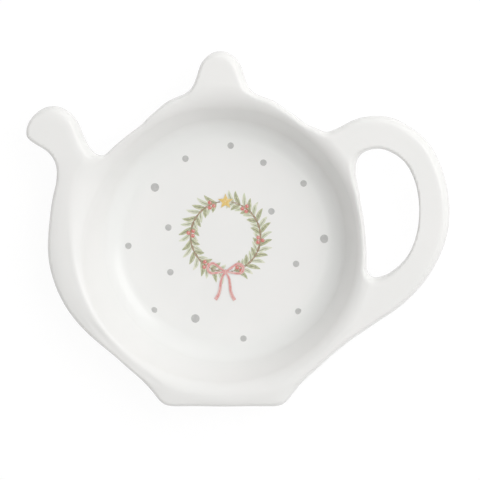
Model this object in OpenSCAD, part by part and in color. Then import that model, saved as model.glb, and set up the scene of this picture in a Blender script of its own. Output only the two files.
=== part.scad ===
// A tea bag rest in white glazed china, shaped like a small teapot seen from above.
// The round well holds the bag. The spout, lid knob, base and handle are flat arms that
// join the well just under its rim. The transfer print lies on the well's floor.
//
// The origin is on the table, on the well's axis. +X runs towards the handle, +Y towards
// the lid knob and +Z up. Shares are parts of the size that they name.

/* [Well] */
// Radius of the rim's crest
rim_r = 40.6; // [38:0.2:44]
// Height of the rim's crest above the table
rim_h = 18; // [16:0.5:22]
// Thickness of the wall at the rim, rounded over its full thickness
wall_t = 2.8; // [2.2:0.2:3.6]
// Distance across the well's wall, from the flat floor's edge to the rim's crest
wall_run_w = 11.1; // [9.6:0.1:13.1]
// Thickness of the floor
floor_t = 3.2; // [2.4:0.2:4]
// Radius of the curve between the floor and the wall
well_fillet_r = 5; // [3.5:0.5:6]

/* [Foot] */
// Height of the foot ring
foot_h = 1.6; // [1:0.2:2.4]
// Distance of the foot ring's middle inside the flat floor's edge
foot_inset = 5; // [3.5:0.5:9]
// Width of the foot ring where it joins the floor
foot_w = 3.6; // [2.8:0.2:4.4]
// Width of the unglazed flat that touches the table
foot_flat_w = 1.8; // [1.2:0.2:2.4]

/* [Arms] */
// Thickness of the spout, knob, base and handle
arm_t = 5.2; // [4:0.2:6.4]
// Drop of their flat tops below the rim's crest
arm_drop = 0.2; // [0.2:0.1:1]
// How far the rounding of an arm's edge reaches over its top
arm_edge = 2; // [1:0.25:2.5]

/* [Spout] */
// Reach of the spout's tip past the rim's crest
spout_reach = 24.1; // [21.1:0.2:27.1]

/* [Lid knob] */
// Reach of the lid knob past the rim's crest
knob_reach = 14.6; // [12:0.2:17]

/* [Base] */
// Reach of the base's corners past the rim's crest
base_reach = 7.1; // [6:0.1:9]

/* [Handle] */
// Reach of the handle past the rim's crest
handle_reach = 25.6; // [23:0.2:28]

/* [Print] */
// Thickness of the printed colour
print_t = 0.12; // [0.08:0.02:0.2]
// Diameter of the small dots
dot_d = 1.9; // [1.2:0.1:2.4]
// Diameter of the large dots
large_dot_d = 2.5; // [1.8:0.1:3]
// Clear margin between the outermost dots' middles and the flat floor's edge
dot_margin = 1.3; // [1.3:0.1:3]

/* [Wreath] */
// Radius of the wreath's twig ring
wreath_r = 10; // [9.2:0.2:10.8]
// Distance of the wreath's centre from the floor's, towards the lid knob
wreath_rise = 2; // [0:0.5:3]
// Width of the twig ring
twig_w = 0.5; // [0.3:0.1:0.7]
// Length of a leaf
leaf_l = 4.2; // [3.4:0.1:4.6]
// Width of a leaf
leaf_w = 1.2; // [0.9:0.05:1.35]
// Diameter of a berry
berry_d = 1.1; // [0.8:0.1:1.2]
// Radius of the star's points
star_r = 2.3; // [1.8:0.1:2.6]
// Length of one loop of the bow
bow_loop_l = 5.6; // [4.6:0.2:6.2]
// Width of one loop of the bow
bow_loop_w = 3.6; // [2.8:0.2:4]
// Width of the bow's ribbon
ribbon_w = 0.8; // [0.6:0.1:1]
// Length of the bow's tails
bow_tail_l = 8.5; // [6:0.5:9.5]

/* [Hidden] */

// Segments of a full circle
$fn = 96;
// Overrun of cuts past the surfaces that they cut
over = 1;

// Radii of the flat floor, of the foot ring's middle and of the dot field
floor_r = rim_r - wall_run_w;
foot_r = floor_r - foot_inset;
dot_field_r = floor_r - dot_margin;

// Centres and radii of the arcs in the well's section
floor_h = foot_h + floor_t;
lip_r = wall_t / 2;
lip_centre = [rim_r, rim_h - lip_r];
heel_r = well_fillet_r + floor_t;
heel_centre = [floor_r, foot_h + heel_r];

// The wall's inner face touches the fillet and the lip on opposite sides, and its outer
// face touches the heel and the lip on the same side
wall_run = lip_centre - heel_centre;
wall_slope = atan2(wall_run[1], wall_run[0]);
inner_slope = wall_slope + asin((well_fillet_r + lip_r) / norm(wall_run));
outer_slope = wall_slope + asin((heel_r - lip_r) / norm(wall_run));
inner_normal = [sin(inner_slope), -cos(inner_slope)];
outer_normal = [sin(outer_slope), -cos(outer_slope)];

// Heights of the arms' flat tops and of the middle of their edges
arm_top = rim_h - arm_drop;
arm_middle = arm_top - arm_t / 2;

// Spline steps between two points of an outline
outline_steps = 4;
// Bands of the rounded edge from underside to top
edge_bands = 6;
// Angle between the facets where an arm meets the bowl
seam_step = 3;
// Facets of a side of a leaf, and of the round shapes in the wreath
leaf_steps = 6;
round_steps = 12;

// Outlines of the arms. Each point is its direction from the well's axis, its distance
// past the rim's crest as a share of the arm's reach, and its edge rounding as a share of
// arm_edge. The spout's flange meets the base at 226 degrees, and the handle's root meets
// the base at 316 degrees.
spout_shares = [
    [142.3, 0.074, 0.1], [143.8, 0.119, 0.8], [143.6, 0.227, 1], [141.3, 0.395, 1],
    [139.3, 0.533, 1], [138.7, 0.69, 1], [140, 0.86, 1], [143.3, 0.97, 1], [147.3, 1, 0.9],
    [150.9, 0.943, 0.8], [151.5, 0.805, 1], [151.7, 0.632, 1], [153.5, 0.494, 1.3],
    [158, 0.402, 1.7], [168, 0.367, 2], [184, 0.361, 2], [198, 0.31, 2], [211, 0.219, 1.8],
    [226, 0.1205, 0.85]
];
// Each half of the lid knob and of the base runs from the middle, at zero, to one side
knob_turn = 90;
base_turn = 271;
knob_half_shares = [
    [0, 1, 1], [3, 0.95, 1], [5.7, 0.81, 1], [7.2, 0.64, 1], [8.7, 0.46, 1], [11, 0.3, 1],
    [14.5, 0.24, 1], [20, 0.23, 0.9], [26, 0.165, 0.5], [32, 0.125, 0.1]
];
base_half_shares = [
    [0, 0.645, 1], [6, 0.67, 1], [12, 0.765, 1], [17.5, 0.94, 0.9], [20.6, 1, 0.8],
    [22.8, 0.91, 0.9], [26.5, 0.69, 1], [31.5, 0.5, 1.1], [38, 0.42, 0.85], [45, 0.409, 0.85]
];
handle_outer_shares = [
    [316, 0.1134, 0.85], [324, 0.158, 1.2], [334, 0.298, 1.2], [343.5, 0.515, 1],
    [353, 0.725, 1], [363, 0.898, 1], [372, 0.978, 1], [380, 1, 1], [387, 0.98, 1],
    [393, 0.885, 1], [398.4, 0.75, 1], [403.1, 0.52, 1], [405.5, 0.28, 1], [407.5, 0.13, 0.8],
    [410, 0.093, 0.4], [413.5, 0.07, 0.1]
];
handle_hole_shares = [
    [379, 0.07, 0.1], [384, 0.075, 0.3], [389.5, 0.12, 0.8], [393, 0.2, 1], [394, 0.32, 1],
    [392.4, 0.47, 1], [389.5, 0.57, 1], [385, 0.655, 1], [379, 0.675, 1], [372, 0.645, 1],
    [365, 0.58, 1], [358.5, 0.48, 1], [353, 0.325, 1], [349.6, 0.17, 1], [350, 0.085, 0.6],
    [352, 0.07, 0.1]
];

// Dots on the floor. Each is its direction from the centre and its distance as a share of
// the dot field's radius.
small_dot_shares = [
    [87, 0.99], [115.5, 0.945], [65, 0.905], [38, 1], [35.5, 0.57], [165, 0.602],
    [182, 0.99], [344.7, 0.74], [207.8, 0.635], [223.2, 1], [317.5, 1], [280.7, 0.976]
];
large_dot_shares = [[142, 0.91], [3.5, 1], [248, 0.822]];

// Stations of the wreath: one in this many holds berries and the others a pair of leaves
wreath_stations = 36;
berry_every = 6;
berry_turn = 2;
wreath_pitch = 360 / wreath_stations;
// Half the angles that the bow and the star keep free of leaves
bow_gap = 12;
star_gap = 12;
// Lean of the leaves away from the radius
outer_lean = 42;
inner_lean = 38;
// Length of an inner leaf as a share of an outer one
inner_leaf_share = 0.75;
// Distance of a berry from its cluster's centre, as a share of its diameter
berry_spread_share = 0.6;
// Radius of the star's inner corners as a share of its points'
star_inner_share = 0.45;
// Sizes of the bow as shares of the ribbon's width: where a loop's eye starts, how much
// shorter and narrower it is than the loop, half the end of a tail, the V cut into it and
// the radius of the knot
eye_start_share = 1.5;
eye_length_share = 2.5;
eye_width_share = 2;
tail_end_share = 0.7;
tail_notch_share = 0.6;
knot_share = 1;
// Rise of the bow's loops above the level, and directions of its tails
bow_loop_rise = 14;
bow_tail_turns = [250, 288];

function polar(r, a) = [r * cos(a), r * sin(a)];

// Radius of the bowl's outside at a height between the heel and the crest
function cup_radius(z) = let (seam = lip_centre + lip_r * outer_normal)
    z < seam[1]
    ? seam[0] - (seam[1] - z) / tan(outer_slope)
    : rim_r + sqrt(lip_r * lip_r - (z - lip_centre[1]) * (z - lip_centre[1]));

// Point at t between b and c of the smooth curve through a, b, c and d
function spline_point(a, b, c, d, t) =
    (2 * b + (c - a) * t + (2 * a - 5 * b + 4 * c - d) * t * t
    + (3 * b - a - 3 * c + d) * t * t * t) / 2;

// Smooth curve from the first to the last of the points p
function smooth_run(p) = let (last = len(p) - 1) [
    for (i = [0 : last - 1], j = [0 : outline_steps - 1])
    spline_point(p[max(i - 1, 0)], p[i], p[i + 1], p[min(i + 2, last)], j / outline_steps),
    p[last]
];

// Smooth outline run of an arm, each point with its edge rounding's width as third value
function arm_run(shares, reach) = smooth_run([
    for (s = shares) [each polar(rim_r + reach * s[1], s[0]), arm_edge * s[2]]
]);

function both_halves(half, middle) = concat(
    [for (i = [len(half) - 1 : -1 : 1]) [middle - half[i][0], half[i][1], half[i][2]]],
    [for (s = half) [middle + s[0], s[1], s[2]]]
);

// Inward direction of a run at point i: square to the run, but radial at its two ends
function inward(run, i) =
    i == 0 || i == len(run) - 1
    ? -[run[i][0], run[i][1]] / norm([run[i][0], run[i][1]])
    : let (d = run[i + 1] - run[i - 1]) [-d[1], d[0]] / norm([d[0], d[1]]);

// The run at the given height, drawn in by the edge rounding but not into the bowl
function run_at(run, z) = let (tilt = (z - arm_middle) * 2 / arm_t) [
    for (i = [0 : len(run) - 1])
    let (
        inset = run[i][2] * (1 - sqrt(max(0, 1 - tilt * tilt))),
        p = [run[i][0], run[i][1]] + inset * inward(run, i)
    )
    p * max(1, cup_radius(z) / cos(seam_step / 2) / norm(p))
];

// Facets along the bowl's outside from direction a down to direction b
function seam_at(a, b, z) = let (n = ceil((a - b) / seam_step)) [
    for (i = [0 : n]) polar(cup_radius(z) / cos(seam_step / 2), a + (b - a) * i / n)
];

// Positive where a, b and c turn anticlockwise
function turn(a, b, c) = (b[0] - a[0]) * (c[1] - a[1]) - (b[1] - a[1]) * (c[0] - a[0]);

function holds(a, b, c, p) = turn(a, b, p) > 0 && turn(b, c, p) > 0 && turn(c, a, p) > 0;

// Corner of ring at place i of the list left, with its two neighbours there
function corner(left, i) = let (n = len(left)) [left[(i + n - 1) % n], left[i], left[(i + 1) % n]];

// True where the corner can be cut off without crossing the rest of the ring
function is_ear(ring, t, left) =
    turn(ring[t[0]], ring[t[1]], ring[t[2]]) > 0
    && len([for (j = left) if (holds(ring[t[0]], ring[t[1]], ring[t[2]], ring[j])) j]) == 0;

function first_ear(ring, left, i) =
    i == len(left) - 1 || is_ear(ring, corner(left, i), left) ? i : first_ear(ring, left, i + 1);

// Triangles that fill the anticlockwise ring, cut off it one corner at a time
function fill(ring, left) = len(left) < 3 ? [] : let (e = first_ear(ring, left, 0)) concat(
    [corner(left, e)],
    fill(ring, [for (k = [0 : len(left) - 1]) if (k != e) left[k]])
);

// Ring of an arm at a height: its runs, each followed by the seam along the bowl
function ring_at(runs, seams, z) = [
    for (j = [0 : len(runs) - 1]) each concat(
        run_at(runs[j], z),
        seam_at(seams[j][0], seams[j][1], z)
    )
];

// Slab with rounded edges inside the runs, closed along the bowl's outside. Each run goes
// anticlockwise round the slab, and seams holds the directions where its seam starts and ends.
module arm(runs, seams) {
    heights = [for (k = [0 : edge_bands]) arm_middle + arm_t / 2 * sin(180 * k / edge_bands - 90)];
    rings = [for (z = heights) ring_at(runs, seams, z)];
    n = len(rings[0]);
    all = [for (i = [0 : n - 1]) i];
    last = edge_bands * n;
    underside = fill(rings[0], all);
    top = [for (t = fill(rings[edge_bands], all)) [t[2] + last, t[1] + last, t[0] + last]];
    sides = [
        for (k = [0 : edge_bands - 1], i = [0 : n - 1])
        let (p = k * n + i, q = k * n + (i + 1) % n)
        each [[p, p + n, q + n], [p, q + n, q]]
    ];
    polyhedron(
        [for (k = [0 : edge_bands], p = rings[k]) [p[0], p[1], heights[k]]],
        concat(sides, underside, top)
    );
}

// Section of the whole cup with its well filled in
module cup_section() {
    polygon([
        [0, foot_h],
        [floor_r, foot_h],
        heel_centre + heel_r * outer_normal,
        lip_centre + lip_r * outer_normal,
        [rim_r, rim_h],
        [0, rim_h]
    ]);
    intersection() {
        translate(heel_centre) circle(heel_r);
        translate([0, foot_h]) square([floor_r + heel_r, heel_r]);
    }
    translate(lip_centre) circle(lip_r);
}

// Section of the well's hollow, open at the top
module well_section() {
    polygon([
        [0, floor_h],
        [floor_r, floor_h],
        heel_centre + well_fillet_r * inner_normal,
        lip_centre - lip_r * inner_normal,
        [rim_r, rim_h],
        [rim_r, rim_h + over],
        [0, rim_h + over]
    ]);
    translate(heel_centre) circle(well_fillet_r);
}

module bowl() {
    color("white") rotate_extrude() {
        difference() {
            cup_section();
            well_section();
        }
        translate(lip_centre) circle(lip_r);
    }
}

module foot_ring() {
    color("linen") rotate_extrude() polygon([
        [foot_r - foot_w / 2, foot_h],
        [foot_r - foot_flat_w / 2, 0],
        [foot_r + foot_flat_w / 2, 0],
        [foot_r + foot_w / 2, foot_h]
    ]);
}

module spout() {
    last = len(spout_shares) - 1;
    color("white") arm(
        [arm_run(spout_shares, spout_reach)],
        [[spout_shares[last][0], spout_shares[0][0]]]
    );
}

module lid_knob() {
    side = knob_half_shares[len(knob_half_shares) - 1][0];
    color("white") arm(
        [arm_run(both_halves(knob_half_shares, knob_turn), knob_reach)],
        [[knob_turn + side, knob_turn - side]]
    );
}

module base_lip() {
    side = base_half_shares[len(base_half_shares) - 1][0];
    color("white") arm(
        [arm_run(both_halves(base_half_shares, base_turn), base_reach)],
        [[base_turn + side, base_turn - side]]
    );
}

module handle() {
    last = len(handle_outer_shares) - 1;
    hole_last = len(handle_hole_shares) - 1;
    color("white") arm(
        [arm_run(handle_outer_shares, handle_reach), arm_run(handle_hole_shares, handle_reach)],
        [
            [handle_outer_shares[last][0], handle_hole_shares[0][0]],
            [handle_hole_shares[hole_last][0], handle_outer_shares[0][0]]
        ]
    );
}

// Lays a flat shape on the floor as one colour of the print
module printed() {
    translate([0, 0, floor_h]) linear_extrude(print_t) children();
}

// The same, placed from the wreath's centre
module printed_wreath() {
    printed() translate([0, wreath_rise]) children();
}

module grey_dots() {
    color("darkgray") printed() {
        for (s = small_dot_shares) translate(polar(dot_field_r * s[1], s[0])) circle(d = dot_d);
        for (s = large_dot_shares) {
            translate(polar(dot_field_r * s[1], s[0])) circle(d = large_dot_d);
        }
    }
}

// Direction of a wreath station, counted from the bow
function station_angle(i) = 270 + (i + 0.5) * wreath_pitch;

// Angle between a station and the bow, which is also 180 less its angle from the star
function bow_angle(i) = 180 - abs((i + 0.5) * wreath_pitch - 180);

function is_free(i) = bow_angle(i) > bow_gap && bow_angle(i) < 180 - star_gap;

function has_berries(i) = i % berry_every == berry_turn;

// Leaf with two pointed ends, from the origin along +X
module leaf(l, w) {
    r = (l * l + w * w) / (4 * w);
    half_arc = asin(l / (2 * r));
    side = [
        for (i = [0 : leaf_steps]) let (a = half_arc * (1 - 2 * i / leaf_steps))
        [l / 2 + r * sin(a), w / 2 - r + r * cos(a)]
    ];
    polygon(concat(side, [for (i = [leaf_steps - 1 : -1 : 1]) [side[i][0], -side[i][1]]]));
}

// Outer and inner leaf of the stations whose number leaves the given remainder by two
module leaf_pairs(remainder) {
    for (i = [0 : wreath_stations - 1]) {
        if (is_free(i) && i % 2 == remainder) rotate(station_angle(i)) {
            translate([wreath_r, 0]) rotate(outer_lean) leaf(leaf_l, leaf_w);
            translate([wreath_r, 0]) {
                rotate(180 - inner_lean) leaf(leaf_l * inner_leaf_share, leaf_w);
            }
        }
    }
}

module berry_clusters() {
    spread = berry_d * berry_spread_share;
    for (i = [0 : wreath_stations - 1]) {
        if (is_free(i) && has_berries(i)) rotate(station_angle(i)) {
            for (p = [[-spread, -spread], [-spread, spread], [spread, 0]]) {
                translate([wreath_r + p[0], p[1]]) circle(d = berry_d, $fn = round_steps);
            }
        }
    }
}

module twig_flat() {
    difference() {
        circle(wreath_r + twig_w / 2);
        circle(wreath_r - twig_w / 2);
    }
}

// Drop with its point at the origin and its round end along +X
module drop(l, w) {
    r = w / 2;
    half_arc = 90 + asin(r / (l - r));
    polygon([
        [0, 0],
        for (i = [0 : round_steps]) let (a = half_arc * (2 * i / round_steps - 1))
        [l - r + r * cos(a), r * sin(a)]
    ]);
}

module bow_loop() {
    difference() {
        drop(bow_loop_l, bow_loop_w);
        translate([ribbon_w * eye_start_share, 0]) {
            drop(bow_loop_l - ribbon_w * eye_length_share, bow_loop_w - ribbon_w * eye_width_share);
        }
    }
}

module bow_tail() {
    polygon([
        [0, -ribbon_w / 2],
        [bow_tail_l, -ribbon_w * tail_end_share],
        [bow_tail_l - ribbon_w * tail_notch_share, 0],
        [bow_tail_l, ribbon_w * tail_end_share],
        [0, ribbon_w / 2]
    ]);
}

module bow_flat() {
    translate([0, -wreath_r]) {
        for (m = [0, 1]) mirror([m, 0]) rotate(bow_loop_rise) bow_loop();
        for (a = bow_tail_turns) rotate(a) bow_tail();
        circle(ribbon_w * knot_share, $fn = round_steps);
    }
}

module star_flat() {
    points = [
        for (i = [0 : 9]) polar(i % 2 == 0 ? star_r : star_r * star_inner_share, 90 + 36 * i)
    ];
    translate([0, wreath_r]) polygon(points);
}

module twig_ring() {
    color("tan") printed_wreath() difference() {
        twig_flat();
        leaf_pairs(0);
        leaf_pairs(1);
        berry_clusters();
        bow_flat();
        star_flat();
    }
}

module pale_leaves() {
    color("darkseagreen") printed_wreath() difference() {
        leaf_pairs(0);
        leaf_pairs(1);
        berry_clusters();
        bow_flat();
        star_flat();
    }
}

module olive_leaves() {
    color("olivedrab") printed_wreath() difference() {
        leaf_pairs(1);
        berry_clusters();
        bow_flat();
        star_flat();
    }
}

module berries() {
    color("indianred") printed_wreath() difference() {
        berry_clusters();
        bow_flat();
        star_flat();
    }
}

module ribbon_bow() {
    color("lightcoral") printed_wreath() bow_flat();
}

module star() {
    color("goldenrod") printed_wreath() star_flat();
}

bowl();
foot_ring();
spout();
lid_knob();
base_lip();
handle();
grey_dots();
twig_ring();
pale_leaves();
olive_leaves();
berries();
ribbon_bow();
star();
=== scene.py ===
"""Glazed looks of a teapot-shaped tea bag rest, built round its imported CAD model."""

import math

import bpy
import numpy as np
from mathutils import Matrix, Vector


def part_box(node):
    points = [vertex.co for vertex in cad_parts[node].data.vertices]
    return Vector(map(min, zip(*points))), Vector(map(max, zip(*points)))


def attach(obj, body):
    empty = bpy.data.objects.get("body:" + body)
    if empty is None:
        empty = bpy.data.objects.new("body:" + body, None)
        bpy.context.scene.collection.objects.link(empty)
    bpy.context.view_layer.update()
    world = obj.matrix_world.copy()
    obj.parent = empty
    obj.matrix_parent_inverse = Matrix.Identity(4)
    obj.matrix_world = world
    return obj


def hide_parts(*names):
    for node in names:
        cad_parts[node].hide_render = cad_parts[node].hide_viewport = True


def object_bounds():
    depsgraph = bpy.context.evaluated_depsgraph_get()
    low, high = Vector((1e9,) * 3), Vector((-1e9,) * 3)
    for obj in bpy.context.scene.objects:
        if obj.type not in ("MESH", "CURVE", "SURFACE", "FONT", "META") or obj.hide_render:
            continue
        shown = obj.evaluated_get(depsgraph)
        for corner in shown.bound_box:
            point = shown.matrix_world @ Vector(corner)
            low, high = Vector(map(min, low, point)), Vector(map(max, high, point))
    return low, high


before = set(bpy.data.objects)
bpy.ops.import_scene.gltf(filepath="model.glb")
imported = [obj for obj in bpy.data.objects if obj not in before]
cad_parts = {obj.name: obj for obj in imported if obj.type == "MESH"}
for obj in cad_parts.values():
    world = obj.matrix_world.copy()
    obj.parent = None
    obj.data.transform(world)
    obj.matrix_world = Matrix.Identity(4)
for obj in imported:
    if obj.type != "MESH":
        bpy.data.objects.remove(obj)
cad_box = [list(corner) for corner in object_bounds()]

# Lengths are in millimetres and angles in degrees, unless a comment says otherwise. Meshes
# are made in metres.
MM = 0.001

# Section of the cup: the well's floor and wall, the lip and the outside
RIM_R, RIM_H, LIP_R = 40.6, 18.0, 1.4
FLOOR_R, FLOOR_H, FILLET_R = 28.8, 4.8, 6.5
HEEL_X, UNDER_H, HEEL_R = 29.5, 1.6, 8.2
# Shares of their radii with which the well's and the heel's corners are rounded
FILLET_SHARE, HEEL_SHARE = 0.515, 0.55

# The casting is a little uneven: how far its well stands off the axis, how much wider its
# mouth is than the rim's circle, and where the mouth and the rim's outside bulge or draw in.
# Each bulge is its direction, half the angle that it spans and its change of radius. Outside,
# the bulges fade out between two distances past the rim.
WELL_SHIFT, MOUTH_EXTRA = (0.1, 0.8), 0.6
MOUTH_BULGES = ((3, 24, -0.5), (205, 50, 0.2), (127, 30, -0.9), (270, 50, 0.3))
RIM_BULGES, BULGE_FADE = ((5, 26, -1.0), (127, 26, -1.1), (53, 14, 0.5)), (3, 8)

# The arms round the cup, with the heights of their flat undersides and tops, and the distance
# past the rim over which the rim's height falls to theirs
ARMS = ("spout", "lid_knob", "base_lip", "handle")
ARM_UNDER, ARM_TOP = (corner[2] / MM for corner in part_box("spout"))
ARM_MIDDLE = (ARM_UNDER + ARM_TOP) / 2
RIM_FALL = 5

# Sides of the body: each one's direction from the axis, and half the angle that it spans
KNOB_SIDE, HANDLE_SIDE, BASE_SIDE = (90, 26), (5, 40), (270, 60)
SPOUT_SIDE, SPOUT_EDGE_SIDE = (148, 34), (150, 24)
LEFT_SIDE, LOW_LEFT_SIDE = (190, 60), (212, 60)

# Roll of the rim into the well, how much softer it is at the knob and behind the spout, and
# how much crisper at the lower left
LIP_ROLL, KNOB_ROLL, SPOUT_ROLL, LEFT_ROLL = 3.0, 1.6, 2.5, -1.9
# Direction towards which the outline's edges are soft, and the widths of the rounded edges:
# crisp ones, crisp ones in the handle's opening, soft ones, and those of the underside
SOFT_SIDE = 40
CRISP_W, HOLE_W, SOFT_W, UNDER_EDGE_W = 1.1, 0.6, 1.9, 2.0
# Width and drop of the top's soft shoulders: left of the well, where they fade out between
# two distances past the rim, along the base, on the arms' soft sides, and how much more the
# spout's soft side falls
LEFT_SHOULDER, LEFT_FADE = (5.2, 1.05), (9, 13)
BASE_SHOULDER, SOFT_SHOULDER, SPOUT_SHOULDER = (4.5, 0.8), (2.8, 0.5), (4.4, 0.8)

# Softness of the join of cup and arms, as it is above and as it is below, the heights from
# the arms' middle between which it changes, and the depths inside the outline over which it
# sets in
JOIN, UNDER_JOIN = 0.1, 4.0
JOIN_HEIGHTS, JOIN_DEPTHS = (-2, 1), (0.1, 2.6)
# Softness of the crest between top and well, how much more it has where the rim has no arm,
# and the depths and the distances past the rim over which that fades out
CREST, BARE_CREST = 0.05, 0.8
BARE_DEPTHS, BARE_FADE = (2.5, 4.5), (1, 3)

# Slack in comparing heights and in comparing places, and the angle between the points of the
# rim's circle
LEVEL_SLACK, PLACE_SLACK, RIM_TURN = 0.01, 0.1, 0.5
# Spacing and margin of the map of depths inside the outline, and how far it is softened
MAP_STEP, MAP_MARGIN, MAP_BLUR = 0.3, 4, 0.9
# How far the depths are softened before facings are taken from them, how many cells the
# facings are softened, and the facings between which an edge goes from crisp to soft, with 1
# for an edge that faces SOFT_SIDE
FACING_BLUR, FACING_CELLS, FACING_RANGE = 1, 2, (-0.4, 0.6)
# Spacing of the body's faces, and how many such steps their grid reaches past the CAD
# model's box, at its low and at its high corner
FACE_SIZE, LOW_CELLS, HIGH_CELLS = 0.6, 2, 3

# Foot ring: radius, points round it, and half its section, as distances from that radius
# and heights
FOOT_R, FOOT_POINTS = 24.5, 160
FOOT_HALF = ((1.8, 1.75), (1.65, 1.3), (1.25, 0.5), (1.05, 0.16), (0.75, 0.02), (0.4, 0))

# Colours of the glaze, of where it is thin and of where it pools, its roughness and its
# refractive index
GLAZE, GLAZE_THIN, GLAZE_POOL = (0.84, 0.841, 0.83), (0.85, 0.848, 0.838), (0.825, 0.832, 0.82)
GLAZE_ROUGHNESS, IOR = 0.16, 1.5
# Radii between which the pool at the foot of the wall sets in, and between which it ends
POOL_IN, POOL_OUT = (25, 30.5), (31.5, 37)
# Colours of the bare foot
BISQUE, BISQUE_PALE, BISQUE_WORN = (0.78, 0.76, 0.71), (0.83, 0.81, 0.77), (0.7, 0.68, 0.64)
BISQUE_ROUGHNESS = 0.8
# Least and greatest roughness of the glaze, of the bare foot and of the print
GLAZE_ROUGH_RANGE, BISQUE_ROUGH_RANGE, PRINT_ROUGH_RANGE = (0.13, 0.19), (0.7, 0.9), (0.14, 0.2)
# Printing colours: full, pale where the wash thins, and the size of the washes
COLOURS = {
    "grey": ((0.48, 0.48, 0.475), (0.54, 0.54, 0.53), 1.2),
    "pale_green": ((0.6, 0.64, 0.47), (0.76, 0.76, 0.64), 0.9),
    "olive": ((0.4, 0.43, 0.26), (0.62, 0.62, 0.43), 0.7),
    "dark_olive": ((0.22, 0.22, 0.15), (0.38, 0.36, 0.26), 0.5),
    "brown": ((0.3, 0.21, 0.13), (0.48, 0.37, 0.26), 0.6),
    "red": ((0.62, 0.16, 0.14), (0.72, 0.32, 0.29), 0.5),
    "pink": ((0.74, 0.36, 0.35), (0.8, 0.56, 0.53), 0.9),
    "pale_pink": ((0.8, 0.6, 0.58), (0.82, 0.7, 0.68), 0.4),
    "gold": ((0.78, 0.56, 0.17), (0.82, 0.68, 0.35), 0.6),
    "orange": ((0.72, 0.38, 0.1), (0.78, 0.52, 0.22), 0.4),
}

# Thickness of one layer of colour, how far it is sunk into the glaze, and how many layers the
# crown of a stroke or patch has
LAYER, SUNK, CROWN = 0.03, 0.004, 2
# The flatter middle of a patch: its size as a share of the patch, and how far its edge lies
# below the crown, as a share of a layer
FLAT_SHARE, FLAT_DROP_SHARE = 0.6, 0.3
# Wreath: how far its centre lies from the axis towards the knob, radius, places for leaves
# round it, and the angle that is left free of leaves to each side of bow and star
WREATH_Y, WREATH_R, STATIONS, GAP = 2.0, 10.0, 36, 12
# Leaves: length, width, lean of those outside and inside the ring, size of the latter, how
# much either kind bends, and the points of a leaf's path
LEAF_L, LEAF_W, OUTER_LEAN, INNER_LEAN, INNER_SHARE = 4.2, 1.2, 42, 38, 0.75
OUTER_BEND, INNER_BEND, LEAF_POINTS = 0.09, -0.07, 13
# Changes of length, bend and lean from leaf to leaf: how large, and how fast they come and go
LENGTH_CHANGE, BEND_CHANGE, LEAN_CHANGE = (0.06, 2.3), (0.4, 1.7), (4, 3.1)
# Strokes: width of their tips, and the powers that move the widest place towards the stalk
# and fill the stroke out
TIP_W, STALK_POWER, FILL_POWER = 0.06, 0.85, 0.8
# Veins, on pale leaves and on olive ones: how much wider than a tip they are in the middle,
# the points of the leaf's path that they follow, and the share of a stroke's width they have
PALE_VEIN_W, PALE_VEIN_SPAN = 0.12, slice(1, 10)
VEIN_W, VEIN_SPAN, VEIN_SHARE = 0.2, slice(0, 11), 0.9
# Twigs: how much wider than a tip they are in the middle, width that is added all along, sway
# to each side, windings in a whole turn, gap to each side of bow and star, and points
TWIG_W, TWIG_ADDED_W, TWIG_SWAY, TWIG_WINDINGS = 0.16, 0.08, 0.17, 14
TWIG_GAP, TWIG_POINTS = 9, 72
# Berries: diameter, every how many stations they come and on which one, how far they stand
# from the cluster's middle and the glint's size as shares of the diameter, and its place
BERRY_D, BERRY_EVERY, BERRY_TURN = 1.1, 6, 2
BERRY_SPREAD_SHARE, GLINT_SHARE, GLINT_PLACE = 0.6, 0.24, (0.18, 0.16)
# Angles between the points round a berry, the knot and a dot
BERRY_STEP, KNOT_STEP, DOT_STEP = 15, 20, 10
# Bow: its loops' length, width and rise, the ribbon's width, the tails' length and directions
# and how far they sway, the width of the folds' lines, and a crease's middle line and widths
BOW_LOOP_L, BOW_LOOP_W, BOW_RISE, RIBBON_W = 5.6, 3.6, 14, 0.8
BOW_TAIL_L, BOW_TAIL_TURNS, TAIL_SWAY, FOLD_W = 8.5, (250, 288), 0.35, 0.13
CREASE, CREASE_WIDTHS = ((0.7, 0.12), (1.5, 0.3), (2.3, 0.36)), (0.2, 0.14, 0.05)
# Points of a loop's arc and of a tail, and places of a loop's points between knot and arc
BOW_POINTS, LEG_SHARES = 15, (0.1, 0.4, 0.7)
# Shares of the ribbon's width: that of a loop at the knot and what it gains round the arc,
# that of a tail at the knot and what it gains to its end, and the depth of its notch
LOOP_START_SHARE, LOOP_GAIN_SHARE = 0.45, 0.6
TAIL_START_SHARE, TAIL_GAIN_SHARE, NOTCH_SHARE = 0.75, 0.5, 0.55
# Width of the line down a tail at its ends, and what it gains in the middle
TAIL_FOLD_W, TAIL_FOLD_GAIN = 0.1, 0.06
# Knot: radius as a share of the ribbon's width, how that is stretched along x and y, places
# and widths of its folds, and the share of their distance that they have halfway up
KNOT_R_SHARE, KNOT_STRETCH = 0.95, (1.05, 0.9)
KNOT_FOLD_X, KNOT_FOLD_Y, KNOT_FOLD_WIDTHS = 0.28, 0.45, (0.04, 0.14, 0.04)
KNOT_WAIST_SHARE = 0.8
# Star: radius of its tips, share of it where it is drawn in, and its creases' places, as
# shares of the way to a tip, and widths
STAR_R, STAR_IN_SHARE = 2.3, 0.45
STAR_CREASE_SHARES, STAR_CREASE_WIDTHS = (0.1, 0.45, 0.8), (0.16, 0.1, 0.04)
# Dots: diameter of the largest, and how uneven their edges are as a share of the radius
LARGE_DOT_D, DOT_WOBBLE = 2.5, 0.012

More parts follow.
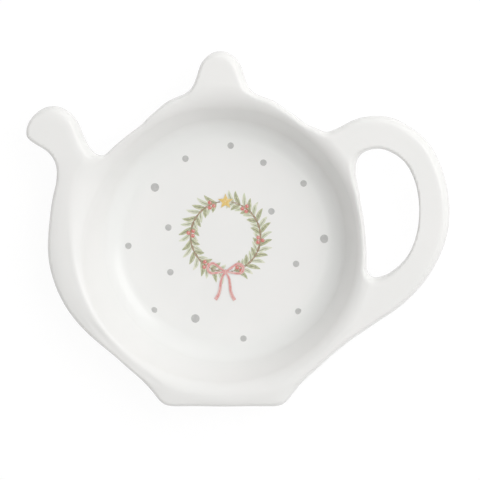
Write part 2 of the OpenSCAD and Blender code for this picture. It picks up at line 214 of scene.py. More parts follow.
# Camera over the piece: width of its view, the point that it looks at, its lean to the right
# and to the back, its distance, the width of its sensor, and how many metres it sees
VIEW_MM, VIEW_CENTRE = 134.8, (5.43, 2.07, 15)
LEAN_X, LEAN_Y = 7.3, 5.5
CAMERA_FAR, SENSOR_W, CLIP_END_M = 1100, 36, 10
# Floor: its size in metres, how far below the foot it lies, and its grey, roughness and gloss
# as the object is lit by it
FLOOR_SIZE_M, FLOOR_BELOW = 6, 0.05
FLOOR_GREY, FLOOR_ROUGHNESS, FLOOR_GLOSS = 0.92, 0.9, 0.1
# How deep a shadow shows on the floor, and the share of that by which its glow is lowered
SHADOW_DEPTH, GLOW_SHARE = 0.12, 0.8
# Light from all round
WORLD_LIGHT, WORLD_TINT = 0.27, (1, 0.98, 0.95)
# Lamps: place and size in metres, power in watts, and whether the glaze mirrors them
LAMPS = {
    "key": ((0.63, 0.25, 0.87), 1.4, 5.5, False),
    "window": ((0.61, 0.29, 0.87), 0.6, 2.1, True),
    "glint": ((-0.7, -0.77, 0.34), 0.1, 0.1, True),
    "side": ((0.97, 0, 0.52), 1.0, 0.8, False),
    "overhead": ((0.04, 0, 1.1), 1.2, 2.1, False),
    "back": ((0, 0.97, 0.52), 1.0, 3.4, False),
    "front": ((0.3, -0.92, 0.52), 1.0, 1.7, False),
    "left": ((-0.95, -0.25, 0.1), 0.16, 0.85, False),
}


def step(low, high, x):
    """Smooth step from 0 at low to 1 at high."""
    t = np.clip((x - low) / (high - low), 0, 1)
    return t * t * (3 - 2 * t)


def soft_min(a, b, k):
    """Lesser of a and b, with the change from one to the other softened over k."""
    h = np.clip(1 - np.abs(a - b) / k, 0, 1)
    return np.minimum(a, b) - h * h * k / 4


def round_max(a, b, r):
    """Greater of a and b, with the corner between them rounded by r."""
    u, v = np.maximum(a + r, 0), np.maximum(b + r, 0)
    return np.minimum(-r, np.maximum(a, b)) + np.hypot(u, v)


def level_edges(node, z):
    """Edges of a CAD node's mesh at height z, as pairs of points, each once."""
    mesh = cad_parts[node].data
    points = np.array([v.co for v in mesh.vertices]) / MM
    level = np.abs(points[:, 2] - z) < LEVEL_SLACK
    found = set()
    for edge in mesh.edges:
        a, b = edge.vertices
        if level[a] and level[b]:
            ends = sorted(tuple(points[i, :2].round(2)) for i in (a, b))
            if ends[0] != ends[1]:
                found.add(tuple(ends))
    return np.array(sorted(found))


def holds(x, y, edges):
    """True where points lie inside closed loops of edges."""
    inside = np.zeros(x.shape, bool)
    for (x0, y0), (x1, y1) in edges:
        if y0 != y1:
            spans = (y0 > y) != (y1 > y)
            inside ^= spans & (x < x0 + (x1 - x0) * (y - y0) / (y1 - y0))
    return inside


def nearest(x, y, edges):
    """Distance from points to the nearest of the edges."""
    best = np.full(x.shape, np.inf)
    for (x0, y0), (x1, y1) in edges:
        dx, dy = x1 - x0, y1 - y0
        t = np.clip(((x - x0) * dx + (y - y0) * dy) / (dx * dx + dy * dy), 0, 1)
        best = np.minimum(best, (x - x0 - t * dx) ** 2 + (y - y0 - t * dy) ** 2)
    return np.sqrt(best)


def blurred(values, sigma):
    """Map softened by a bell of the given width in cells, along x and then y."""
    reach = math.ceil(3 * sigma)
    bell = np.exp(-0.5 * (np.arange(-reach, reach + 1) / sigma) ** 2)
    bell /= bell.sum()
    for axis in (0, 1):
        wide = np.pad(values, [(reach, reach) if a == axis else (0, 0) for a in (0, 1)], "edge")
        values = sum(
            w * np.take(wide, range(i, i + values.shape[axis]), axis) for i, w in enumerate(bell)
        )
    return values


def free_edges(loops):
    """Edges of the arms' loops that lie off the seam with the cup and belong to one arm only."""
    seam_r = min(np.hypot(*edges.reshape(-1, 2).T).min() for edges in loops)
    seen, found = {}, []
    for edges in loops:
        for edge in edges:
            seen[edge.tobytes()] = seen.get(edge.tobytes(), 0) + 1
    for edges in loops:
        away = np.hypot(edges[:, :, 0], edges[:, :, 1]).max(axis=1) > seam_r + PLACE_SLACK
        alone = np.array([seen[edge.tobytes()] == 1 for edge in edges])
        found.extend(edges[away & alone])
    return found


def bare_rim(loops):
    """Edges of the rim's circle where it has no arm."""
    rim = RIM_R + LIP_R
    turns = np.radians(np.arange(0, 360 + RIM_TURN, RIM_TURN))
    x, y = (rim + PLACE_SLACK) * np.cos(turns), (rim + PLACE_SLACK) * np.sin(turns)
    bare = ~np.any([holds(x, y, edges) for edges in loops], axis=0)
    ring = np.stack([rim * np.cos(turns), rim * np.sin(turns)], axis=1)
    return [ring[i : i + 2] for i in range(len(turns) - 1) if bare[i] and bare[i + 1]]


def outline_map():
    """Depth inside the body's outline seen from above, negative outside, on a square grid."""
    loops = [level_edges(node, ARM_MIDDLE) for node in ARMS]
    low = np.array(cad_box[0][:2]) / MM - MAP_MARGIN
    high = np.array(cad_box[1][:2]) / MM + MAP_MARGIN
    xs, ys = (np.arange(low[i], high[i], MAP_STEP) for i in (0, 1))
    x, y = np.meshgrid(xs, ys, indexing="ij")
    inside = np.hypot(x, y) < RIM_R + LIP_R
    for edges in loops:
        inside |= holds(x, y, edges)
    depth = np.where(inside, 1, -1) * nearest(x, y, free_edges(loops) + bare_rim(loops))
    return low, blurred(depth, MAP_BLUR / MAP_STEP)


def facing_map(depths):
    """1 where the nearest edge faces SOFT_SIDE, 0 where it faces away."""
    inward = np.gradient(blurred(depths, FACING_BLUR / MAP_STEP), MAP_STEP)
    turn = math.radians(SOFT_SIDE)
    facing = -inward[0] * math.cos(turn) - inward[1] * math.sin(turn)
    return blurred(step(*FACING_RANGE, facing), FACING_CELLS)


MAP_LOW, DEPTHS = outline_map()
FACINGS = facing_map(DEPTHS)


def read_map(values, x, y):
    """Map's value at any points, between those of its grid."""
    u, v = (x - MAP_LOW[0]) / MAP_STEP, (y - MAP_LOW[1]) / MAP_STEP
    i = np.clip(u.astype(int), 0, values.shape[0] - 2)
    j = np.clip(v.astype(int), 0, values.shape[1] - 2)
    u, v = u - i, v - j
    near = values[i, j] * (1 - v) + values[i, j + 1] * v
    far = values[i + 1, j] * (1 - v) + values[i + 1, j + 1] * v
    return near * (1 - u) + far * u


def tangent(low_c, low_r, high_c, high_r, same_side):
    """Normal, to the right of the run, of the line that touches two circles."""
    run = np.subtract(high_c, low_c)
    rise = math.asin((low_r - high_r if same_side else low_r + high_r) / np.hypot(*run))
    slope = math.atan2(run[1], run[0]) + rise
    return np.array([math.sin(slope), -math.cos(slope)])


# Centres of the section's rounded corners, and normals of the straight wall between them
FILLET_C, HEEL_C = (FLOOR_R, FLOOR_H + FILLET_R), (HEEL_X, UNDER_H + HEEL_R)
LIP_C = (RIM_R, RIM_H - LIP_R)
INNER_N = tangent(FILLET_C, FILLET_R, LIP_C, LIP_R, False)
OUTER_N = tangent(HEEL_C, HEEL_R, LIP_C, LIP_R, True)


def lobe(x, y, direction, spread):
    """1 towards a direction from the well's axis, falling to 0 at spread degrees from it."""
    off = np.degrees(np.abs(np.angle(np.exp(1j * (np.arctan2(y, x) - math.radians(direction))))))
    return 1 - step(0, spread, off)


def bulge(x, y, bulges):
    """Change of radius that bulges make."""
    return sum(change * lobe(x, y, direction, spread) for direction, spread, change in bulges)


def shoulder(depth, width, drop):
    """How far the top falls away towards its edge."""
    return drop * np.clip(1 - depth / width, 0, 1) ** 2


def near_rim(r, fade):
    """1 up to the first of two distances past the rim, falling to 0 at the second."""
    return 1 - step(RIM_R + fade[0], RIM_R + fade[1], r)


def well_field(x, y, z, r):
    """Negative inside the hollow of the well."""
    well_r = np.hypot(x - WELL_SHIFT[0], y - WELL_SHIFT[1])
    well_r = well_r - (MOUTH_EXTRA + bulge(x, y, MOUTH_BULGES)) * step(FLOOR_R, RIM_R, r)
    inner = (well_r - FILLET_C[0]) * INNER_N[0] + (z - FILLET_C[1]) * INNER_N[1] - FILLET_R
    return round_max(inner, FLOOR_H - z, FILLET_SHARE * FILLET_R)


def cup_field(r, z, draw):
    """Negative inside the cup, taken as solid, up to the middle of the arms."""
    outer = (r - draw - HEEL_C[0]) * OUTER_N[0] + (z - HEEL_C[1]) * OUTER_N[1] - HEEL_R
    return np.maximum(round_max(outer, UNDER_H - z, HEEL_SHARE * HEEL_R), z - ARM_MIDDLE)


def top_height(x, y, r, depth, facing):
    """Height of the arms' and rim's top, with its soft shoulders."""
    off_rim = step(RIM_R, RIM_R + RIM_FALL, r)
    top = ARM_TOP + (RIM_H - ARM_TOP) * (1 - off_rim)
    top -= shoulder(depth, *LEFT_SHOULDER) * lobe(x, y, *LEFT_SIDE) * near_rim(r, LEFT_FADE)
    top -= shoulder(depth, *BASE_SHOULDER) * lobe(x, y, *BASE_SIDE)
    fall = shoulder(depth, *SOFT_SHOULDER)
    fall += shoulder(depth, *SPOUT_SHOULDER) * lobe(x, y, *SPOUT_EDGE_SIDE)
    return top - fall * (facing * off_rim)


def edge_width(x, y, z, r, facing):
    """Width of the outline's rounded edges."""
    in_hole = lobe(x, y, *HANDLE_SIDE) * step(RIM_R, RIM_R + RIM_FALL, r)
    width = CRISP_W + (HOLE_W - CRISP_W) * in_hole
    width += (SOFT_W - width) * facing
    return np.where(z > ARM_MIDDLE, width, UNDER_EDGE_W)


def slab_field(z, depth, width, top):
    """Negative inside the arms and the rim, taken as one slab with rounded edges."""
    half = np.where(z > ARM_MIDDLE, top - ARM_MIDDLE, ARM_MIDDLE - ARM_UNDER)
    across = np.maximum(width - depth, 0) / width
    up = (z - ARM_MIDDLE) / half
    reach = np.hypot(across, up)
    return (reach - 1) * reach / np.maximum(np.hypot(across / width, up / half), 1e-6)


def body(x, y, z):
    """Negative inside the casting, positive outside, and near the distance from its surface."""
    r = np.hypot(x, y)
    draw = bulge(x, y, RIM_BULGES) * step(FLOOR_R, RIM_R, r) * near_rim(r, BULGE_FADE)
    share = 1 - draw / np.maximum(r, 1)
    depth = read_map(DEPTHS, x * share, y * share)
    facing = read_map(FACINGS, x, y)
    top = top_height(x, y, r, depth, facing)
    slab = slab_field(z, depth, edge_width(x, y, z, r, facing), top)
    below = 1 - step(ARM_MIDDLE + JOIN_HEIGHTS[0], ARM_MIDDLE + JOIN_HEIGHTS[1], z)
    join = JOIN + (UNDER_JOIN - JOIN) * below * step(*JOIN_DEPTHS, depth)
    solid = soft_min(cup_field(r, z, draw), slab, join)
    roll = LIP_ROLL + KNOB_ROLL * lobe(x, y, *KNOB_SIDE) + SPOUT_ROLL * lobe(x, y, *SPOUT_SIDE)
    roll += LEFT_ROLL * lobe(x, y, *LOW_LEFT_SIDE)
    mouth = round_max(z - top, -well_field(x, y, z, r), roll)
    bare = (1 - step(*BARE_DEPTHS, depth)) * near_rim(r, BARE_FADE)
    return -soft_min(-solid, -mouth, CREST + BARE_CREST * bare)


def surface_net(values, low, size):
    """Quads round the zero surface of values on a grid, with a point in each cell it crosses."""
    cells = np.array(values.shape) - 1
    total, count = np.zeros((*cells, 3)), np.zeros(cells)
    for axis in range(3):
        for corner in np.ndindex(2, 2):
            start = np.insert(corner, axis, 0)
            end = np.insert(corner, axis, 1)
            a, b = (values[tuple(slice(o, o + n) for o, n in zip(s, cells))] for s in (start, end))
            crossed = (a < 0) != (b < 0)
            t = np.where(crossed, a / np.where(crossed, a - b, 1), 0)
            place = np.zeros((*cells, 3)) + start
            place[..., axis] = t
            total += place * crossed[..., None]
            count += crossed
    used = count > 0
    number = np.full(cells, -1)
    number[used] = np.arange(used.sum())
    points = low + size * (np.argwhere(used) + total[used] / count[used][:, None])
    quads = []
    for axis in range(3):
        b, c = (axis + 1) % 3, (axis + 2) % 3
        spans = [slice(1, n) for n in cells]
        spans[axis] = slice(0, cells[axis])
        nexts = list(spans)
        nexts[axis] = slice(1, cells[axis] + 1)
        first, second = values[tuple(spans)] < 0, values[tuple(nexts)] < 0
        places = np.argwhere(first != second)
        leaving = (first & ~second)[tuple(places.T)]
        places += np.where(np.arange(3) == axis, 0, 1)
        step_b, step_c = np.eye(3, dtype=int)[b], np.eye(3, dtype=int)[c]
        ring = [places - step_b - step_c, places - step_c, places, places - step_b]
        quad = np.stack([number[tuple(p.T)] for p in ring], axis=1)
        quads.append(np.where(leaving[:, None], quad, quad[:, ::-1]))
    return points, np.concatenate(quads)


def slope_of(field, p):
    """Gradient of a field at points, by differences."""
    reach = 0.15
    sides = [reach * np.eye(3)[i] for i in range(3)]
    return np.stack([
        (field(*(p + s).T) - field(*(p - s).T)) / (2 * reach) for s in sides
    ], axis=1)


def settled(field, points, quads, rounds=4, evening=0.6):
    """Points evened out along the surface and brought onto it, and its normals there."""
    pairs = np.concatenate([quads[:, [i, (i + 1) % 4]] for i in range(4)])
    pairs = np.concatenate([pairs, pairs[:, ::-1]])
    shares = np.bincount(pairs[:, 0], minlength=len(points))[:, None]
    for i in range(rounds):
        slope = slope_of(field, points)
        size = np.linalg.norm(slope, axis=1, keepdims=True)
        normal = slope / size
        if i < rounds - 1:
            sums = np.stack([
                np.bincount(pairs[:, 0], points[pairs[:, 1], a], len(points)) for a in range(3)
            ], axis=1)
            drift = sums / shares - points
            points = points + evening * (drift - normal * (drift * normal).sum(1, keepdims=True))
        off = field(*points.T)[:, None] / size
        points = points - normal * np.clip(off, -FACE_SIZE / 2, FACE_SIZE / 2)
    slope = slope_of(field, points)
    return points, slope / np.linalg.norm(slope, axis=1, keepdims=True)


def add_piece(name, points, faces, normals=None):
    """Smooth mesh from points in millimetres, which rides on the body."""
    mesh = bpy.data.meshes.new(name)
    mesh.from_pydata((np.asarray(points) * MM).tolist(), [], [list(map(int, f)) for f in faces])
    mesh.shade_smooth()
    if normals is not None:
        mesh.normals_split_custom_set_from_vertices(normals.tolist())
    piece = bpy.data.objects.new(name, mesh)
    bpy.context.scene.collection.objects.link(piece)
    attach(piece, "root")
    return piece


def new_material(name, colour, roughness):
    """Material, its node tree and its shader, for more detail to be added to them."""
    material = bpy.data.materials.new(name)
    material.use_nodes = True
    tree = material.node_tree
    shader = tree.nodes["Principled BSDF"]
    shader.inputs["Base Color"].default_value = (*colour, 1)
    shader.inputs["Roughness"].default_value = roughness
    shader.inputs["IOR"].default_value = IOR
    return material, tree, shader


def add_noise(tree, size_mm, detail=2.0):
    """Noise with features of about the given size, fixed to the object."""
    place = tree.nodes.new("ShaderNodeTexCoord")
    noise = tree.nodes.new("ShaderNodeTexNoise")
    noise.inputs["Scale"].default_value = 1 / (size_mm * MM)
    noise.inputs["Detail"].default_value = detail
    tree.links.new(place.outputs["Object"], noise.inputs["Vector"])
    return noise.outputs["Fac"]


def add_axis_distance(tree):
    """Distance from the well's axis, in metres."""
    place = tree.nodes.new("ShaderNodeTexCoord")
    flat = tree.nodes.new("ShaderNodeVectorMath")
    flat.operation = "MULTIPLY"
    flat.inputs[1].default_value = (1, 1, 0)
    length = tree.nodes.new("ShaderNodeVectorMath")
    length.operation = "LENGTH"
    tree.links.new(place.outputs["Object"], flat.inputs[0])
    tree.links.new(flat.outputs["Vector"], length.inputs[0])
    return length.outputs["Value"]


def add_math(tree, operation, first, second):
    """Result of an operation on two nodes' outputs."""
    node = tree.nodes.new("ShaderNodeMath")
    node.operation = operation
    tree.links.new(first, node.inputs[0])
    tree.links.new(second, node.inputs[1])
    return node.outputs[0]


def add_range(tree, value, between, to=(0, 1)):
    """Value that goes smoothly from one end of a range to the other as its input does."""
    spread = tree.nodes.new("ShaderNodeMapRange")
    spread.interpolation_type = "SMOOTHSTEP"
    ends = ("From Min", "From Max", "To Min", "To Max")
    for name, number in zip(ends, (*between, *to)):
        spread.inputs[name].default_value = number
    tree.links.new(value, spread.inputs["Value"])
    return spread.outputs["Result"]


def add_mix(tree, share, first, second):
    """Colour between two, each a colour or another node's output."""
    mix = tree.nodes.new("ShaderNodeMix")
    mix.data_type = "RGBA"
    tree.links.new(share, mix.inputs["Factor"])
    for socket, colour in ((mix.inputs[6], first), (mix.inputs[7], second)):
        if isinstance(colour, tuple):
            socket.default_value = (*colour, 1)
        else:
            tree.links.new(colour, socket)
    return mix.outputs[2]


def add_bump(tree, shader, height, strength, depth_mm, under=None):
    """Bump on a shader, over another bump if one is given."""
    bump = tree.nodes.new("ShaderNodeBump")
    bump.inputs["Strength"].default_value = strength
    bump.inputs["Distance"].default_value = depth_mm * MM
    tree.links.new(height, bump.inputs["Height"])
    if under:
        tree.links.new(under.outputs["Normal"], bump.inputs["Normal"])
    tree.links.new(bump.outputs["Normal"], shader.inputs["Normal"])
    return bump


def glaze_material():
    """Clear glaze over white china: slow waves, faint clouding and a cooler pool in the well."""
    material, tree, shader = new_material("white_glaze", GLAZE, GLAZE_ROUGHNESS)
    axis_distance = add_axis_distance(tree)
    sets_in = add_range(tree, axis_distance, [r * MM for r in POOL_IN])
    goes_on = add_range(tree, axis_distance, [r * MM for r in POOL_OUT], to=(1, 0))
    pool = add_math(tree, "MULTIPLY", sets_in, goes_on)
    clouds = add_range(tree, add_noise(tree, size_mm=14), (0.35, 0.65))
    clouded = add_mix(tree, clouds, GLAZE, GLAZE_THIN)
    tree.links.new(add_mix(tree, pool, clouded, GLAZE_POOL), shader.inputs["Base Color"])
    rough = add_range(tree, add_noise(tree, size_mm=5, detail=3), (0.3, 0.7), GLAZE_ROUGH_RANGE)
    tree.links.new(rough, shader.inputs["Roughness"])
    slow = add_noise(tree, size_mm=9, detail=1)
    waves = add_bump(tree, shader, slow, strength=0.25, depth_mm=0.12)
    fine = add_noise(tree, size_mm=0.9, detail=2)
    add_bump(tree, shader, fine, strength=0.12, depth_mm=0.01, under=waves)
    return material


def bisque_material():
    """Bare fired clay where the glaze was wiped off: fine grit, with grey wear from the table."""
    material, tree, shader = new_material("bare_bisque", BISQUE, BISQUE_ROUGHNESS)
    grit = add_noise(tree, size_mm=0.35, detail=4)
    wear = add_range(tree, add_noise(tree, size_mm=3, detail=3), (0.45, 0.7))
    speckled = add_mix(tree, add_range(tree, grit, (0.35, 0.65)), BISQUE, BISQUE_PALE)
    tree.links.new(add_mix(tree, wear, speckled, BISQUE_WORN), shader.inputs["Base Color"])
    rough = add_range(tree, grit, (0.3, 0.7), BISQUE_ROUGH_RANGE)
    tree.links.new(rough, shader.inputs["Roughness"])
    add_bump(tree, shader, grit, strength=0.5, depth_mm=0.05)
    return material


def print_material(name, colour, pale, wash_mm):
    """Transfer colour under the glaze, in patchy washes, with its fine dot screen."""
    material, tree, shader = new_material(name, colour, GLAZE_ROUGHNESS)
    wash = add_range(tree, add_noise(tree, wash_mm, detail=3), (0.38, 0.66))
    washed = add_mix(tree, wash, colour, pale)
    screen = add_range(tree, add_noise(tree, size_mm=0.12, detail=0), (0.4, 0.8), to=(0, 0.35))
    tree.links.new(add_mix(tree, screen, washed, pale), shader.inputs["Base Color"])
    rough = add_range(tree, add_noise(tree, size_mm=0.8), (0.3, 0.7), PRINT_ROUGH_RANGE)
    tree.links.new(rough, shader.inputs["Roughness"])
    add_bump(tree, shader, add_noise(tree, size_mm=0.5), strength=0.1, depth_mm=0.01)
    return material


def polar(r, degrees):
    return np.array([r * math.cos(math.radians(degrees)), r * math.sin(math.radians(degrees))])


def circle(r, turn):
    """Points of a circle, with the given angle between them."""
    return np.array([polar(r, a) for a in range(0, 360, turn)])


def turned(points, degrees, move=(0, 0)):
    """Points turned about the origin and then moved."""
    c, s = polar(1, degrees)
    points = np.asarray(points, float)
    return np.stack([
        points[:, 0] * c - points[:, 1] * s + move[0], points[:, 0] * s + points[:, 1] * c + move[1]
    ], axis=1)


class Shapes:
    """Flat lens-shaped strokes and patches of one colour, gathered into one mesh. They lie
    under the glaze, so they are shaded as level as its surface."""

    def __init__(self, layer):
        self.low = FLOOR_H - SUNK + LAYER * layer
        self.points, self.faces = [], []

    def add(self, points, faces):
        first = len(self.points)
        self.points.extend(points)
        self.faces.extend([first + i for i in face] for face in faces)

    def stroke(self, path, widths, notch=0):
        """Brush stroke along a path, crowned across, with a V cut into its end if asked for."""
        path, across = np.asarray(path, float), (-1, -0.55, 0, 0.55, 1)
        along = np.gradient(path, axis=0)
        along /= np.linalg.norm(along, axis=1, keepdims=True)
        side = np.stack([along[:, 1], -along[:, 0]], axis=1)
        n, rings = len(across), []
        for i, (p, w) in enumerate(zip(path, widths)):
            cut = notch if i == len(path) - 1 else 0
            for a in across:
                x, y = p + side[i] * a * w / 2 - along[i] * cut * (1 - abs(a))
                rings.append((x, y, self.low + LAYER * CROWN * (1 - a * a)))
        faces = [
            [i * n + j, i * n + (j + 1) % n, (i + 1) * n + (j + 1) % n, (i + 1) * n + j]
            for i in range(len(path) - 1) for j in range(n)
        ]
        ends = [list(range(n))[::-1], list(range(len(rings) - n, len(rings)))]
        self.add(rings, faces + ends)

    def patch(self, outline, centre=None):
        """Crowned patch inside an outline, with a ring of faces round its middle."""
        outline = np.asarray(outline, float)
        middle = outline.mean(axis=0) if centre is None else np.asarray(centre, float)
        inner = middle + FLAT_SHARE * (outline - middle)
        n, top = len(outline), self.low + LAYER * CROWN
        points = [(x, y, self.low) for x, y in outline]
        points += [(x, y, top - FLAT_DROP_SHARE * LAYER) for x, y in inner] + [(*middle, top)]
        faces = [list(range(n))[::-1]]
        faces += [[i, (i + 1) % n, n + (i + 1) % n, n + i] for i in range(n)]
        faces += [[n + i, n + (i + 1) % n, 2 * n] for i in range(n)]
        self.add(points, faces)

    def piece(self, name, slot, material, *replaced):
        """All that was gathered, as one piece in a printing colour."""
        level = np.tile((0.0, 0.0, 1.0), (len(self.points), 1))
        made = add_piece(name, self.points, self.faces, level)
        made.data.materials.append(material)
        if replaced:
            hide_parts(*replaced)


def placed(points):
    """Points of the wreath, from its own centre to the well's."""
    return np.asarray(points, float) + (0, WREATH_Y)


def station_angle(i):
    return 270 + (i + 0.5) * 360 / STATIONS


def is_free(i):
    """True for stations that are clear of bow and star."""
    from_bow = 180 - abs((i + 0.5) * 360 / STATIONS - 180)
    return GAP < from_bow < 180 - GAP


def change_at(i, change):
    """Change of a leaf's size or place at a station."""
    most, pace = change
    return most * math.sin(pace * i)


def leaf_path(i, outer):
    """Middle line of a leaf, with a length, bend and lean that differ from leaf to leaf."""
    length = LEAF_L * (1 if outer else INNER_SHARE) * (1 + change_at(i, LENGTH_CHANGE))
    t = np.linspace(0, 1, LEAF_POINTS)
    bend = (OUTER_BEND if outer else INNER_BEND) * (1 + change_at(i, BEND_CHANGE))
    path = np.stack([length * t, length * bend * 4 * t * (1 - t)], axis=1)
    lean = OUTER_LEAN if outer else 180 - INNER_LEAN
    path = turned(path, lean + change_at(i, LEAN_CHANGE))
    return placed(turned(path + (WREATH_R, 0), station_angle(i)))


def leaf_widths(count, width):
    """Widths along a leaf or a stroke like one, from its stalk to its tip."""
    t = np.linspace(0, 1, count)
    return TIP_W + width * np.sin(math.pi * t ** STALK_POWER) ** FILL_POWER


def add_leaves():
    """Pale washes and olive leaves by turns, each with a darker stroke over it."""
    pale, olive, veins = Shapes(0), Shapes(1), Shapes(3)
    for i in filter(is_free, range(STATIONS)):
        for outer in (True, False):
            path = leaf_path(i, outer)
            leaves, span, vein_w = (
                (pale, PALE_VEIN_SPAN, PALE_VEIN_W) if i % 2 == 0 else (olive, VEIN_SPAN, VEIN_W)
            )
            leaves.stroke(path, leaf_widths(LEAF_POINTS, LEAF_W))
            vein = path[span]
            veins.stroke(vein, leaf_widths(len(vein), vein_w) * VEIN_SHARE)
    pale.piece("pale_leaf_washes", "print_pale_green", PRINTS["pale_green"], "pale_leaves")
    olive.piece("olive_leaf_strokes", "print_olive", PRINTS["olive"], "olive_leaves")
    veins.piece("leaf_veins", "print_olive", PRINTS["dark_olive"])


def add_twigs():
    """Two thin twigs that wind round each other in a ring, open behind the bow and the star."""
    twigs = Shapes(2)
    for start, end in ((-90, 90), (90, 270)):
        turns = np.linspace(start + TWIG_GAP, end - TWIG_GAP, TWIG_POINTS)
        for phase in (0, math.pi):
            radii = WREATH_R + TWIG_SWAY * np.sin(np.radians(turns) * TWIG_WINDINGS + phase)
            path = placed([polar(r, a) for r, a in zip(radii, turns)])
            twigs.stroke(path, leaf_widths(TWIG_POINTS, TWIG_W) + TWIG_ADDED_W)
    twigs.piece("wound_twigs", "print_brown", PRINTS["brown"], "twig_ring")


def add_berries():
    """Clusters of three berries on the ring, each with a glint."""
    fruit, glints = Shapes(4), Shapes(6)
    spread = BERRY_SPREAD_SHARE * BERRY_D
    ring = circle(BERRY_D / 2, BERRY_STEP)
    for i in filter(is_free, range(STATIONS)):
        if i % BERRY_EVERY == BERRY_TURN:
            for x, y in ((-spread, -spread), (-spread, spread), (spread, 0)):
                x, y = placed(turned([(WREATH_R + x, y)], station_angle(i)))[0]
                fruit.patch(ring + (x, y))
                glints.patch(ring * GLINT_SHARE + (x + GLINT_PLACE[0], y + GLINT_PLACE[1]))
    fruit.piece("berry_clusters", "print_red", PRINTS["red"], "berries")
    glints.piece("berry_glints", "print_pink", PRINTS["pale_pink"])


def loop_path(length, width):
    """Middle line of a drop-shaped loop, from its point round and back."""
    r = width / 2
    half = 90 + math.degrees(math.asin(r / (length - r)))
    turns = np.linspace(-half, half, BOW_POINTS)
    arc = [np.array([length - r, 0]) + polar(r, a) for a in turns]
    there, back = [arc[0] * t for t in LEG_SHARES], [arc[-1] * t for t in LEG_SHARES[::-1]]
    return np.array([*there, *arc, *back])


def add_bow_loops(ribbon, folds, middle):
    """The bow's two loops, with a line along each ribbon and a crease towards the knot."""
    for flip in (1, -1):
        loop = turned(loop_path(BOW_LOOP_L - RIBBON_W / 2, BOW_LOOP_W - RIBBON_W), BOW_RISE)
        loop = loop * (flip, 1) + middle
        n = len(loop)
        swell = np.sin(math.pi * np.linspace(0, 1, n)) ** 0.5
        ribbon.stroke(loop, LOOP_START_SHARE * RIBBON_W + LOOP_GAIN_SHARE * RIBBON_W * swell)
        folds.stroke(loop[2:-2], np.full(n - 4, FOLD_W))
        folds.stroke(turned(CREASE, BOW_RISE) * (flip, 1) + middle, CREASE_WIDTHS)


def add_bow_tails(ribbon, folds, middle):
    """The bow's two tails, which widen downwards to a notched end."""
    t = np.linspace(0, 1, BOW_POINTS)
    fold_widths = TAIL_FOLD_W + TAIL_FOLD_GAIN * np.sin(math.pi * t)
    for sway, direction in zip((-TAIL_SWAY, TAIL_SWAY), BOW_TAIL_TURNS):
        run = np.stack([BOW_TAIL_L * t, sway * np.sin(2 * math.pi * t)], axis=1)
        tail = turned(run, direction, middle)
        widths = RIBBON_W * (TAIL_START_SHARE + TAIL_GAIN_SHARE * t)
        ribbon.stroke(tail, widths, notch=NOTCH_SHARE * RIBBON_W)
        folds.stroke(tail[1:-1], fold_widths[1:-1])


def add_bow():
    """Bow at the wreath's foot, with its knot over loops and tails."""
    ribbon, folds = Shapes(5), Shapes(7)
    middle = np.array([0, WREATH_Y - WREATH_R])
    add_bow_loops(ribbon, folds, middle)
    add_bow_tails(ribbon, folds, middle)
    ribbon.low += LAYER
    knot = circle(RIBBON_W * KNOT_R_SHARE, KNOT_STEP)
    ribbon.patch(knot * KNOT_STRETCH + middle)
    folds.low += LAYER
    for x in (-KNOT_FOLD_X, KNOT_FOLD_X):
        fold = np.array([(x, -KNOT_FOLD_Y), (KNOT_WAIST_SHARE * x, 0), (x, KNOT_FOLD_Y)]) + middle
        folds.stroke(fold, KNOT_FOLD_WIDTHS)
    ribbon.piece("bow_ribbon", "print_pink", PRINTS["pink"], "ribbon_bow")
    folds.piece("bow_folds", "print_red", PRINTS["red"])


def add_star():
    """Star at the wreath's head, with a crease to each tip."""
    star, creases = Shapes(5), Shapes(7)
    middle = np.array([0, WREATH_Y + WREATH_R])
    tips = [polar(STAR_R * (STAR_IN_SHARE if i % 2 else 1), 90 + 36 * i) for i in range(10)]
    star.patch(np.array(tips) + middle, middle)
    for tip in tips[::2]:
        creases.stroke(np.outer(STAR_CREASE_SHARES, tip) + middle, STAR_CREASE_WIDTHS)
    star.piece("star_patch", "print_gold", PRINTS["gold"], "star")
    creases.piece("star_creases", "print_gold", PRINTS["orange"])


def dot_boxes():
    """Lowest and highest corner of each of the CAD model's dots, seen from above."""
    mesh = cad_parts["grey_dots"].data
    points = np.array([v.co for v in mesh.vertices]) / MM
    groups = []
    for p in points[:, :2]:
        near = [g for g in groups if np.hypot(*(g[0] - p)) < LARGE_DOT_D + PLACE_SLACK]
        if near:
            near[0].append(p)
        else:
            groups.append([p])
    return [(np.min(g, axis=0), np.max(g, axis=0)) for g in groups]


def add_dots():
    """Dots of the CAD model again, each with a slightly uneven edge."""
    dots = Shapes(0)
    turns = range(0, 360, DOT_STEP)
    wobble = [1 + DOT_WOBBLE * math.sin(3 * math.radians(a)) for a in turns]
    for low, high in dot_boxes():
        size = (high - low).max()
        ring = [polar(size / 2 * w, a) for a, w in zip(turns, wobble)]
        dots.patch(np.array(ring) + (low + high) / 2)
    dots.piece("grey_dot_patches", "print_grey", PRINTS["grey"], "grey_dots")


def add_body():
    """The whole glazed casting, for bowl and arms."""
    low = np.array(cad_box[0]) / MM - LOW_CELLS * FACE_SIZE
    high = np.array(cad_box[1]) / MM + HIGH_CELLS * FACE_SIZE
    axes = [np.arange(low[i], high[i], FACE_SIZE) for i in range(3)]
    x, y, z = np.meshgrid(*axes, indexing="ij")
    points, quads = surface_net(body(x, y, z), low, FACE_SIZE)
    points, normals = settled(body, points, quads)
    glazed = add_piece("glazed_body", points, quads, normals)
    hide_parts("bowl", *ARMS)
    glazed.data.materials.append(glaze_material())


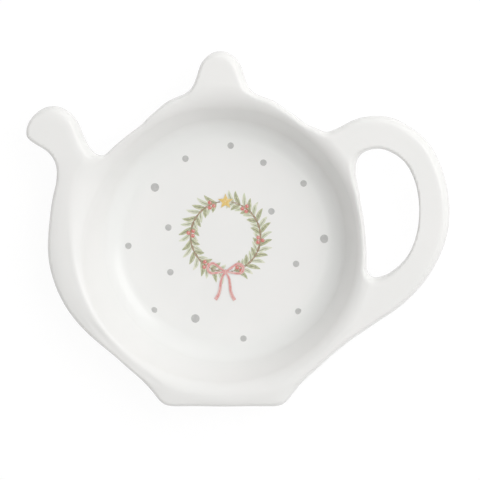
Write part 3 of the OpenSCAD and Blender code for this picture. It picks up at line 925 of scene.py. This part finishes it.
def add_foot():
    """Foot ring with rounded edges and an unglazed flat, turned on the axis."""
    section = [(FOOT_R - off, z) for off, z in FOOT_HALF]
    section += [(FOOT_R + off, z) for off, z in FOOT_HALF[::-1]]
    count, n = FOOT_POINTS, len(section)
    points = [(*(polar(r, 360 * i / count)), z) for i in range(count) for r, z in section]
    faces = [
        [i * n + j, (i + 1) % count * n + j, (i + 1) % count * n + (j + 1) % n, i * n + (j + 1) % n]
        for i in range(count) for j in range(n)
    ]
    foot = add_piece("foot_ring_bisque", points, faces)
    foot.data.materials.append(bisque_material())
    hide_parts("foot_ring")


def add_camera():
    data = bpy.data.cameras.new("camera")
    data.sensor_width = SENSOR_W
    data.lens = data.sensor_width * CAMERA_FAR / VIEW_MM
    data.clip_end = CLIP_END_M
    camera = bpy.data.objects.new("camera", data)
    bpy.context.scene.collection.objects.link(camera)
    lean = Vector((math.tan(math.radians(LEAN_X)), math.tan(math.radians(LEAN_Y)), 1)).normalized()
    camera.location = (Vector(VIEW_CENTRE) + lean * CAMERA_FAR) * MM
    camera.rotation_mode = "QUATERNION"
    side = Vector((0, 1, 0)).cross(lean).normalized()
    up = lean.cross(side)
    camera.rotation_quaternion = Matrix((side, up, lean)).transposed().to_quaternion()
    bpy.context.scene.camera = camera


def add_light(name, place, size, power, mirrored):
    """Square lamp that faces the object."""
    data = bpy.data.lights.new(name, "AREA")
    data.shape = "SQUARE"
    data.size = size
    data.energy = power
    light = bpy.data.objects.new(name, data)
    bpy.context.scene.collection.objects.link(light)
    light.location = place
    light.rotation_mode = "QUATERNION"
    light.rotation_quaternion = Vector(place).to_track_quat("Z", "Y")
    light.visible_glossy = mirrored


def seen_rays(tree):
    """1 for rays from the camera and for mirrored and refracted ones, and 0 for the others."""
    path = tree.nodes.new("ShaderNodeLightPath")
    share = path.outputs["Is Camera Ray"]
    for other in ("Is Glossy Ray", "Is Transmission Ray"):
        share = add_math(tree, "MAXIMUM", share, path.outputs[other])
    return share


def add_stage():
    """White floor that keeps a faint shadow and lights the object as a pale table does."""
    bpy.ops.mesh.primitive_plane_add(size=FLOOR_SIZE_M, location=(0, 0, -FLOOR_BELOW * MM))
    floor = bpy.context.object
    floor.name = "floor"
    material, tree, table = new_material("floor_white", [FLOOR_GREY] * 3, FLOOR_ROUGHNESS)
    table.inputs["Specular IOR Level"].default_value = FLOOR_GLOSS
    faint = tree.nodes.new("ShaderNodeBsdfDiffuse")
    faint.inputs["Color"].default_value = (*[SHADOW_DEPTH] * 3, 1)
    white = tree.nodes.new("ShaderNodeEmission")
    white.inputs["Strength"].default_value = 1 - GLOW_SHARE * SHADOW_DEPTH
    seen = tree.nodes.new("ShaderNodeAddShader")
    mix = tree.nodes.new("ShaderNodeMixShader")
    tree.links.new(faint.outputs[0], seen.inputs[0])
    tree.links.new(white.outputs[0], seen.inputs[1])
    tree.links.new(seen_rays(tree), mix.inputs["Fac"])
    tree.links.new(table.outputs[0], mix.inputs[1])
    tree.links.new(seen.outputs[0], mix.inputs[2])
    tree.links.new(mix.outputs[0], tree.nodes["Material Output"].inputs["Surface"])
    floor.data.materials.append(material)


def add_world():
    """Even light from all round, which looks white where it is seen or mirrored."""
    world = bpy.data.worlds.new("world")
    world.use_nodes = True
    tree = world.node_tree
    light = tree.nodes["Background"]
    light.inputs["Color"].default_value = (*WORLD_TINT, 1)
    light.inputs["Strength"].default_value = WORLD_LIGHT
    white = tree.nodes.new("ShaderNodeBackground")
    white.inputs["Color"].default_value = (1, 1, 1, 1)
    mix = tree.nodes.new("ShaderNodeMixShader")
    tree.links.new(seen_rays(tree), mix.inputs["Fac"])
    tree.links.new(light.outputs[0], mix.inputs[1])
    tree.links.new(white.outputs[0], mix.inputs[2])
    tree.links.new(mix.outputs[0], tree.nodes["World Output"].inputs["Surface"])
    bpy.context.scene.world = world


PRINTS = {name: print_material(f"print_{name}", *colours) for name, colours in COLOURS.items()}
add_body()
add_foot()
add_dots()
add_leaves()
add_twigs()
add_berries()
add_bow()
add_star()

add_camera()
add_stage()
add_world()
for lamp_name, lamp in LAMPS.items():
    add_light(lamp_name, *lamp)
bpy.context.scene.view_settings.view_transform = "Standard"
